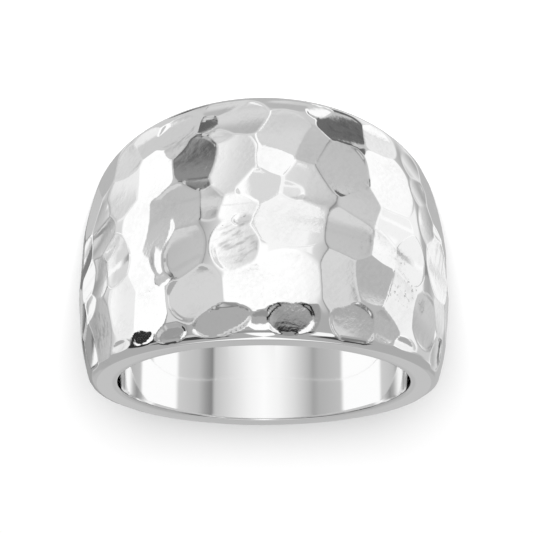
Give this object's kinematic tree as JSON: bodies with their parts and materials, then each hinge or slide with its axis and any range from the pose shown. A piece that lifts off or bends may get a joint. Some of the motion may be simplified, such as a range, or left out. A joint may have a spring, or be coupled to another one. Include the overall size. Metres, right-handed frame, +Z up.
{
  "type": "cigar band ring",
  "caption": "Wide tapered finger ring in bright white metal, domed and hammered outside, with flat side faces and a plain round finger hole, lying on its side",
  "frame": {"origin": "middle of the ring's outline on the surface that it lies on", "axes": "+Z up, -Y the wide domed front; the finger hole leans 12 degrees from +Z towards +Y"},
  "size_m": [0.022, 0.0226, 0.0156],
  "materials": {
    "silver": "polished sterling silver, hammered outside and plain inside"
  },
  "bodies": {
    "root": {"ring": "silver"}
  },
  "joints": []
}
